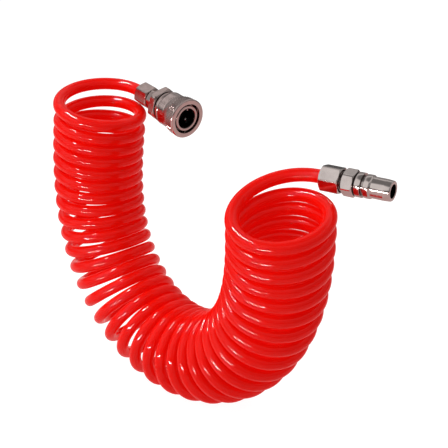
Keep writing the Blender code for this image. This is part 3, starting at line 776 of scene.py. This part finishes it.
def spring(name, node, place, mean_r, wire_r, turns, seat, top_seat):
    """An open coil of wire between its two seats."""
    bottom = seat + wire_r + 0.3
    top = top_seat - wire_r - 0.3
    count = int(turns * WIRE_STEPS) + 1
    part = np.linspace(0.0, 1.0, count)
    angle = 2 * np.pi * turns * part
    heights = bottom + (top - bottom) * part
    points = np.stack([mean_r * np.cos(angle), mean_r * np.sin(angle), heights], axis=1)
    tangents = np.gradient(points, axis=0)
    tangents /= np.linalg.norm(tangents, axis=1)[:, None]
    side = np.stack([np.cos(angle), np.sin(angle), np.zeros(count)], axis=1)
    other = np.cross(tangents, side)
    around = np.linspace(0.0, 2 * np.pi, WIRE_AROUND, endpoint=False)
    rings = [p + wire_r * (np.cos(around)[:, None] * s + np.sin(around)[:, None] * o)
             for p, s, o in zip(points, side, other)]
    bm = ring_mesh(rings, False)
    close_ends(bm, WIRE_AROUND)
    bmesh.ops.recalc_face_normals(bm, faces=bm.faces)
    obj = mesh_object(name, bm, place, math.radians(60))
    finish_piece(obj, STEEL, "socket_end", [node])
    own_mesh(obj)


def sleeve(place):
    """The locking sleeve: faintly knurled behind its flare, deeply in front of it."""
    segments = 288
    angle = np.linspace(0.0, 2 * np.pi, segments, endpoint=False)
    front = [(SLEEVE_LIP_R, SLEEVE_TO - 1.0), (SLEEVE_LIP_R, SLEEVE_TO), (SLEEVE_R - 0.6, SLEEVE_TO),
             (SLEEVE_R, SLEEVE_TO - 0.6), (SLEEVE_R, KNURL[1] + 0.3), (SLEEVE_R - 0.3, KNURL[1])]
    rings = [circle(radius, height, segments) for radius, height in round_corners(front, False, 0.2)]
    for height in np.arange(KNURL[1] - 0.2, KNURL[0], -KNURL_STEP):
        climb = height * 2 * np.pi / KNURL_PITCH
        first = np.abs(((KNURL_RIDGES * angle + climb) / np.pi) % 2.0 - 1.0)
        second = np.abs(((KNURL_RIDGES * angle - climb) / np.pi) % 2.0 - 1.0)
        outer = np.interp(height, FLARE, (SLEEVE_REAR_R, SLEEVE_R))
        depth = np.interp(height, (FLARE[0] - 1.0, FLARE[1]), KNURL_DEPTH)
        reach = outer - depth + depth * np.minimum(first, second)
        rings.append(np.stack([reach * np.cos(angle), reach * np.sin(angle),
                               np.full(segments, height)], axis=1))
    rear = [(SLEEVE_REAR_R - 0.3, KNURL[0] - 0.1), (SLEEVE_REAR_R, KNURL[0] - 0.6),
            (SLEEVE_REAR_R, SLEEVE_FROM + 0.5), (SLEEVE_REAR_R - 0.3, SLEEVE_FROM),
            (SLEEVE_BORE_R, SLEEVE_FROM), (SLEEVE_BORE_R, LAND_FROM), (BODY_R + 0.3, LAND_FROM),
            (BODY_R + 0.3, BALL_Z + 0.2), (SLEEVE_FRONT_BORE_R, BALL_Z + 4.2),
            (SLEEVE_FRONT_BORE_R, SLEEVE_TO - 1.0)]
    rings += [circle(radius, height, segments) for radius, height in round_corners(rear, False, 0.2)]
    bm = ring_mesh(rings, True)
    bmesh.ops.recalc_face_normals(bm, faces=bm.faces)
    shell = mesh_object("sleeve_shell", bm, place, math.radians(40))
    finish_piece(shell, NICKEL_KNURLED, "sleeve", ["locking_sleeve"])


def plug(place):
    hose_nut("plug", place)
    hexagon = hexagonal("plug_hexagon", NUT_FLATS, chamfer_levels(NUT_FLATS, *PLUG_HEX),
                        [(AIR_R, PLUG_HEX[0]), (AIR_R, PLUG_HEX[1])], place @ about_axis(PLUG_HEX_TURN))
    finish_piece(hexagon, NICKEL_BRIGHT, "plug_end", ["plug_body"])
    stem = threaded("plug_tail_thread", THREAD_R, THREAD_FROM, PLUG_HEX[0], AIR_R, place)
    finish_piece(stem, NICKEL, "plug_end")
    outline = [(5.4, PLUG_LENGTH), (5.7, PLUG_LENGTH - 0.4), (NOSE_R, 38.0), (NOSE_R, PLUG_BAND[1] + 0.3),
               (6.3, PLUG_BAND[1]), (PLUG_BAND_R, PLUG_BAND[1] - 0.6), (PLUG_BAND_R, PLUG_BAND[0]),
               (GROOVE_R, PLUG_BAND[0]), (GROOVE_R, PLUG_COLLAR[1]), (PLUG_COLLAR_R, PLUG_COLLAR[1]),
               (PLUG_COLLAR_R, PLUG_COLLAR[0]), (6.0, PLUG_COLLAR[0]), (6.0, PLUG_HEX[1] - 0.1),
               (AIR_R, PLUG_HEX[1] - 0.1), (AIR_R, NOSE_BORE_FROM), (NOSE_BORE_R, NOSE_BORE_FROM),
               (NOSE_BORE_R, PLUG_LENGTH - 0.3), (4.05, PLUG_LENGTH)]
    nose = turned("plug_nose", outline, place, segments=112, soft=0.16)
    finish_piece(nose, NICKEL_BORED_BRIGHT, "plug_end")
    spigot = turned("plug_spigot", BARBS, place, segments=40)
    finish_piece(spigot, NICKEL, "plug_end")


# ------------------------------------------------------------------ stage
CAMERA_LENS = 63.6
CAMERA_DISTANCE = 0.5069
CAMERA_RISE = 0.38           # radians above the horizon
CAMERA_RIGHT = 0.0121
CAMERA_UP = 0.0218
SOFT_LIGHT = 0.44
CARD_TOWARDS = (-0.78, -0.36, 0.46)  # a white card up on the left, seen in reflections
CARD_EDGE = (0.86, 0.91)
CARD_WHITE = 0.85
FLOOR_REACH = 6.0            # metres from the middle to each edge
FLOOR_DROP = 0.0005          # metres below the hose
FLOOR_GLOW = 0.90
FLOOR_BOUNCE = (0.40, 0.24, 0.23)    # what the metal sees of the floor beside the red coil
# Grey of the walls and the ceiling in reflections, by the sine of the angle above the horizon.
WALL_STOPS = ((0.0, 0.10), (0.12, 0.10), (0.35, 0.42), (0.55, 0.20), (0.75, 0.72), (0.90, 0.20))
# Lights: place from the middle of the hose, width and height in metres, and power in watts.
TUBE_LIGHTS = (
    dict(name="high_streak", place=(-0.34, 0.04, 0.61), width=0.38, height=0.060, power=5.5, matte=False),
    dict(name="low_streak", place=(-0.36, -0.52, -0.06), width=0.38, height=0.045, power=4.2, matte=False))
ROOM_LIGHTS = (
    dict(name="metal_line", place=(-0.36, -0.52, -0.06), width=0.42, height=0.022, power=1.3, matte=False),
    dict(name="left_wash", place=(-0.80, -0.35, 0.35), width=0.5, height=0.7, power=4.5, mirrored=False),
    dict(name="top", place=(0.05, 0.10, 0.95), width=0.5, height=0.5, power=2.3, mirrored=False))


def stage():
    centre = (CAD_LOW + CAD_HIGH) / 2
    back = Vector((0.0, -math.cos(CAMERA_RISE), math.sin(CAMERA_RISE)))
    up = Vector((0.0, math.sin(CAMERA_RISE), math.cos(CAMERA_RISE)))
    camera = bpy.data.objects.new("camera", bpy.data.cameras.new("camera"))
    camera.data.lens = CAMERA_LENS
    camera.data.sensor_width = 36.0
    camera.location = centre + back * CAMERA_DISTANCE + up * CAMERA_UP + Vector((CAMERA_RIGHT, 0.0, 0.0))
    camera.rotation_euler = (math.pi / 2 - CAMERA_RISE, 0.0, 0.0)
    bpy.context.scene.collection.objects.link(camera)
    bpy.context.scene.camera = camera

    mesh = bpy.data.meshes.new("floor")
    corners = [(x * FLOOR_REACH, y * FLOOR_REACH, 0) for x, y in ((-1, -1), (1, -1), (1, 1), (-1, 1))]
    mesh.from_pydata(corners, [], [(0, 1, 2, 3)])
    floor = bpy.data.objects.new("floor", mesh)
    floor.location = (0.0, 0.0, CAD_LOW.z - FLOOR_DROP)
    bpy.context.scene.collection.objects.link(floor)
    n = Nodes("pale_floor")
    n.set(n.bsdf, "Base Color", n.mix(n.between(n.noise(3.0), 0.0, 1.0), (0.36, 0.36, 0.36),
                                      (0.33, 0.33, 0.33)))
    n.set(n.bsdf, "Roughness", 0.8)
    n.set(n.bsdf, "Specular IOR Level", 0.0)
    rays = n.tree.nodes.new("ShaderNodeLightPath")
    n.set(n.bsdf, "Emission Color", n.mix(rays.outputs["Is Camera Ray"], FLOOR_BOUNCE, (1.0, 1.0, 1.0)))
    n.set(n.bsdf, "Emission Strength", FLOOR_GLOW)
    floor.data.materials.append(n.mat)

    tube = tube_collection()
    for settings in TUBE_LIGHTS:
        light(centre, **settings).light_linking.receiver_collection = tube
    for settings in ROOM_LIGHTS:
        light(centre, **settings)

    studio_world()
    bpy.context.scene.view_settings.view_transform = "Standard"


def studio_world():
    """White to the camera and as soft light; grey walls under a lighter ceiling where it is reflected."""
    world = bpy.data.worlds.new("studio")
    world.use_nodes = True
    tree = world.node_tree
    soft = tree.nodes["Background"]
    soft.inputs["Color"].default_value = (1.0, 1.0, 1.0, 1.0)
    where = tree.nodes.new("ShaderNodeTexCoord")
    height = tree.nodes.new("ShaderNodeSeparateXYZ")
    ramp = tree.nodes.new("ShaderNodeValToRGB")
    walls = tree.nodes.new("ShaderNodeBackground")
    rays = tree.nodes.new("ShaderNodeLightPath")
    seen = tree.nodes.new("ShaderNodeMath")
    seen.operation = "MULTIPLY_ADD"
    seen.inputs[1].default_value = 1.0 - SOFT_LIGHT
    seen.inputs[2].default_value = SOFT_LIGHT
    mix = tree.nodes.new("ShaderNodeMixShader")
    tree.links.new(where.outputs["Generated"], height.inputs[0])
    tree.links.new(height.outputs["Z"], ramp.inputs[0])
    stops = ramp.color_ramp.elements
    stops[0].position, stops[1].position = WALL_STOPS[0][0], WALL_STOPS[-1][0]
    for place, _ in WALL_STOPS[1:-1]:
        stops.new(place)
    for stop, (_, grey) in zip(stops, WALL_STOPS):
        stop.color = (grey, grey, grey, 1.0)
    towards = tree.nodes.new("ShaderNodeVectorMath")
    towards.operation = "DOT_PRODUCT"
    towards.inputs[1].default_value = Vector(CARD_TOWARDS).normalized()
    edge = tree.nodes.new("ShaderNodeMapRange")
    edge.inputs["From Min"].default_value = CARD_EDGE[0]
    edge.inputs["From Max"].default_value = CARD_EDGE[1]
    card = tree.nodes.new("ShaderNodeMix")
    card.data_type = "RGBA"
    card.inputs[7].default_value = (CARD_WHITE, CARD_WHITE, CARD_WHITE, 1.0)
    tree.links.new(where.outputs["Generated"], towards.inputs[0])
    tree.links.new(towards.outputs["Value"], edge.inputs["Value"])
    tree.links.new(edge.outputs["Result"], card.inputs[0])
    tree.links.new(ramp.outputs["Color"], card.inputs[6])
    tree.links.new(card.outputs[2], walls.inputs["Color"])
    tree.links.new(rays.outputs["Is Camera Ray"], seen.inputs[0])
    tree.links.new(seen.outputs[0], soft.inputs["Strength"])
    tree.links.new(rays.outputs["Is Glossy Ray"], mix.inputs[0])
    tree.links.new(soft.outputs[0], mix.inputs[1])
    tree.links.new(walls.outputs[0], mix.inputs[2])
    tree.links.new(mix.outputs[0], tree.nodes["World Output"].inputs["Surface"])
    bpy.context.scene.world = world


def light(aim, name, place, width, height, power, mirrored=True, matte=True):
    """A panel of light that faces aim. mirrored: reflections show it. matte: it lights dull surfaces."""
    spot = aim + Vector(place)
    data = bpy.data.lights.new(name, "AREA")
    data.shape = "RECTANGLE"
    data.size = width
    data.size_y = height
    data.energy = power
    obj = bpy.data.objects.new(name, data)
    obj.location = spot
    obj.rotation_euler = (aim - spot).to_track_quat("-Z", "Y").to_euler()
    obj.visible_glossy = mirrored
    obj.visible_diffuse = matte
    bpy.context.scene.collection.objects.link(obj)
    return obj


def tube_collection():
    """The tube's pieces, for the lights that draw the thin streaks along its turns."""
    coll = bpy.data.collections.new("lit_tube")
    for obj in bpy.context.scene.objects:
        if obj.name.startswith("hose_") and obj.type == "MESH" and RED.name in obj.data.materials:
            coll.objects.link(obj)
    return coll


hose(HoseLine())
socket(fitting_frame("socket"))
plug(fitting_frame("plug"))
stage()
